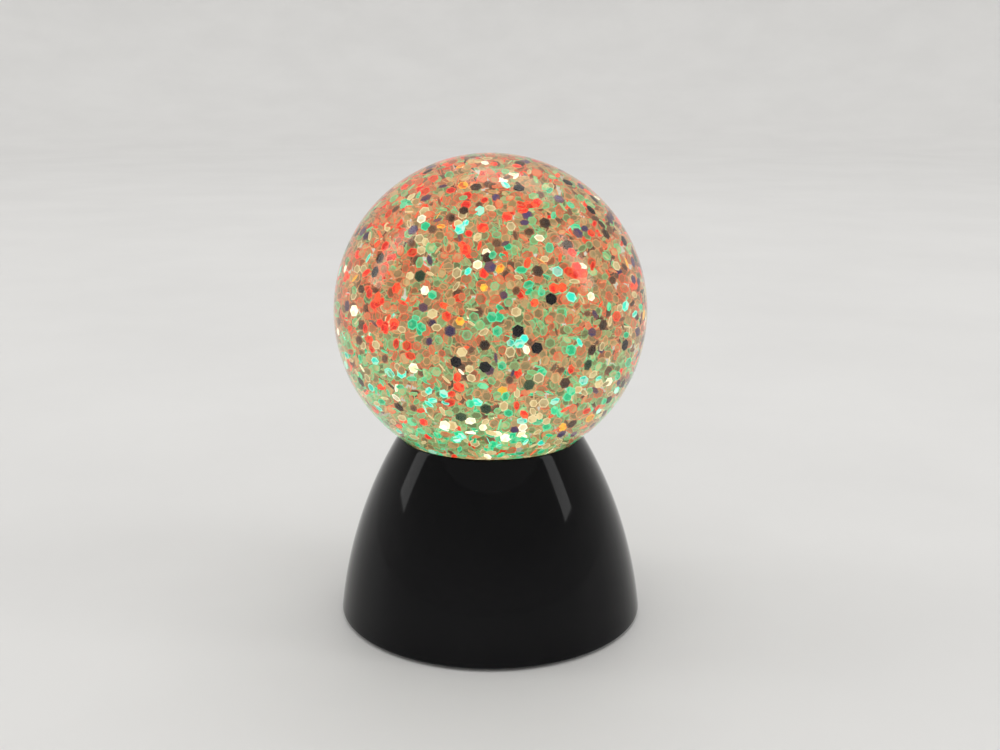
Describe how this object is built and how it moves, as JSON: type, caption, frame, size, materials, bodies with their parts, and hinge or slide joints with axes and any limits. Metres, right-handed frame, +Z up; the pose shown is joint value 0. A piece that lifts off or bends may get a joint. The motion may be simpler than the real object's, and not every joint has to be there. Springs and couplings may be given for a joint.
{
  "type": "glitter water ball lamp",
  "caption": "Clear liquid-filled ball of hexagonal glitter on a gloss black dome, lit from below and stirred by a magnet-driven impeller, with an underside slide switch and battery door.",
  "frame": {"origin": "on the table plane, under the centre of the round base", "axes": "+Z up through the centre of the ball, +X along the battery cells, -Y towards the viewer of the picture; the switch is at the back, +Y"},
  "size_m": [0.1, 0.1, 0.1511],
  "materials": {
    "clear_globe": "polished clear moulded plastic",
    "clear_liquid": "clear water-based liquid",
    "glitter_film": "iridescent metallised film, lit from below",
    "clear_plug": "clear moulded plastic",
    "black_rubber": "matte black rubber",
    "steel": "bright plated steel",
    "white_plastic": "natural white moulded plastic",
    "magnet_plating": "nickel plating",
    "gloss_black": "polished gloss black moulded plastic",
    "motor_steel": "zinc-plated drawn steel",
    "dark_plastic": "dark moulded plastic",
    "brass": "tinned brass",
    "board_green": "green solder mask",
    "red_lens": "tinted clear resin",
    "green_lens": "tinted clear resin",
    "blue_lens": "tinted clear resin",
    "black_plastic": "fine-textured black moulded plastic",
    "cell_sleeve": "plain printed sleeve",
    "knob_plastic": "black moulded plastic",
    "red_wire": "red insulation",
    "black_wire": "black insulation",
    "white_wire": "white insulation"
  },
  "bodies": {
    "lamp": {"globe_shell": "clear_globe", "globe_liquid": "clear_liquid", "glitter_flakes": "glitter_film", "globe_plug": "clear_plug", "plug_seal": "black_rubber", "fill_bung": "black_rubber", "impeller_pin": "steel", "base_shell": "gloss_black", "neck_nut": "white_plastic", "motor_bracket": "white_plastic", "bracket_screws": "steel", "motor_can": "motor_steel", "motor_end_cap": "dark_plastic", "motor_terminals": "brass", "motor_screws": "steel", "led_board": "board_green", "board_screws": "steel", "led_red": "red_lens", "led_green": "green_lens", "led_blue": "blue_lens", "chip_resistors": "dark_plastic", "bottom_cover": "black_plastic", "cover_screws": "steel", "battery_cells": "cell_sleeve", "battery_springs": "steel", "contact_plates": "steel", "switch_body": "dark_plastic", "switch_screws": "steel", "rubber_feet": "black_rubber", "red_lead": "red_wire", "black_lead": "black_wire", "switch_lead": "red_wire", "motor_leads": "white_wire"},
    "drive_rotor": {"motor_shaft": "steel", "magnet_carrier": "white_plastic", "drive_magnets": "magnet_plating"},
    "impeller_rotor": {"impeller": "white_plastic", "impeller_magnets": "magnet_plating"},
    "switch_slider": {"switch_knob": "knob_plastic"},
    "door": {"battery_door": "black_plastic", "door_screws": "steel"}
  },
  "joints": [
    {"name": "drive_spin", "type": "hinge", "parent": "lamp", "child": "drive_rotor", "pos_m": [0, 0, 0.04], "axis": [0, 0, 1], "continuous": true},
    {"name": "impeller_spin", "type": "hinge", "parent": "lamp", "child": "impeller_rotor", "pos_m": [0, 0, 0.052], "axis": [0, 0, 1], "continuous": true},
    {"name": "switch_slide", "type": "slide", "parent": "lamp", "child": "switch_slider", "axis": [1, 0, 0], "range_m": [0, 0.0035]},
    {"name": "door_release", "type": "slide", "parent": "lamp", "child": "door", "axis": [0, 0, -1], "range_m": [0, 0.03]}
  ],
  "couplings": [
    {"joint": "impeller_spin", "follows": "drive_spin", "ratio": 1}
  ]
}
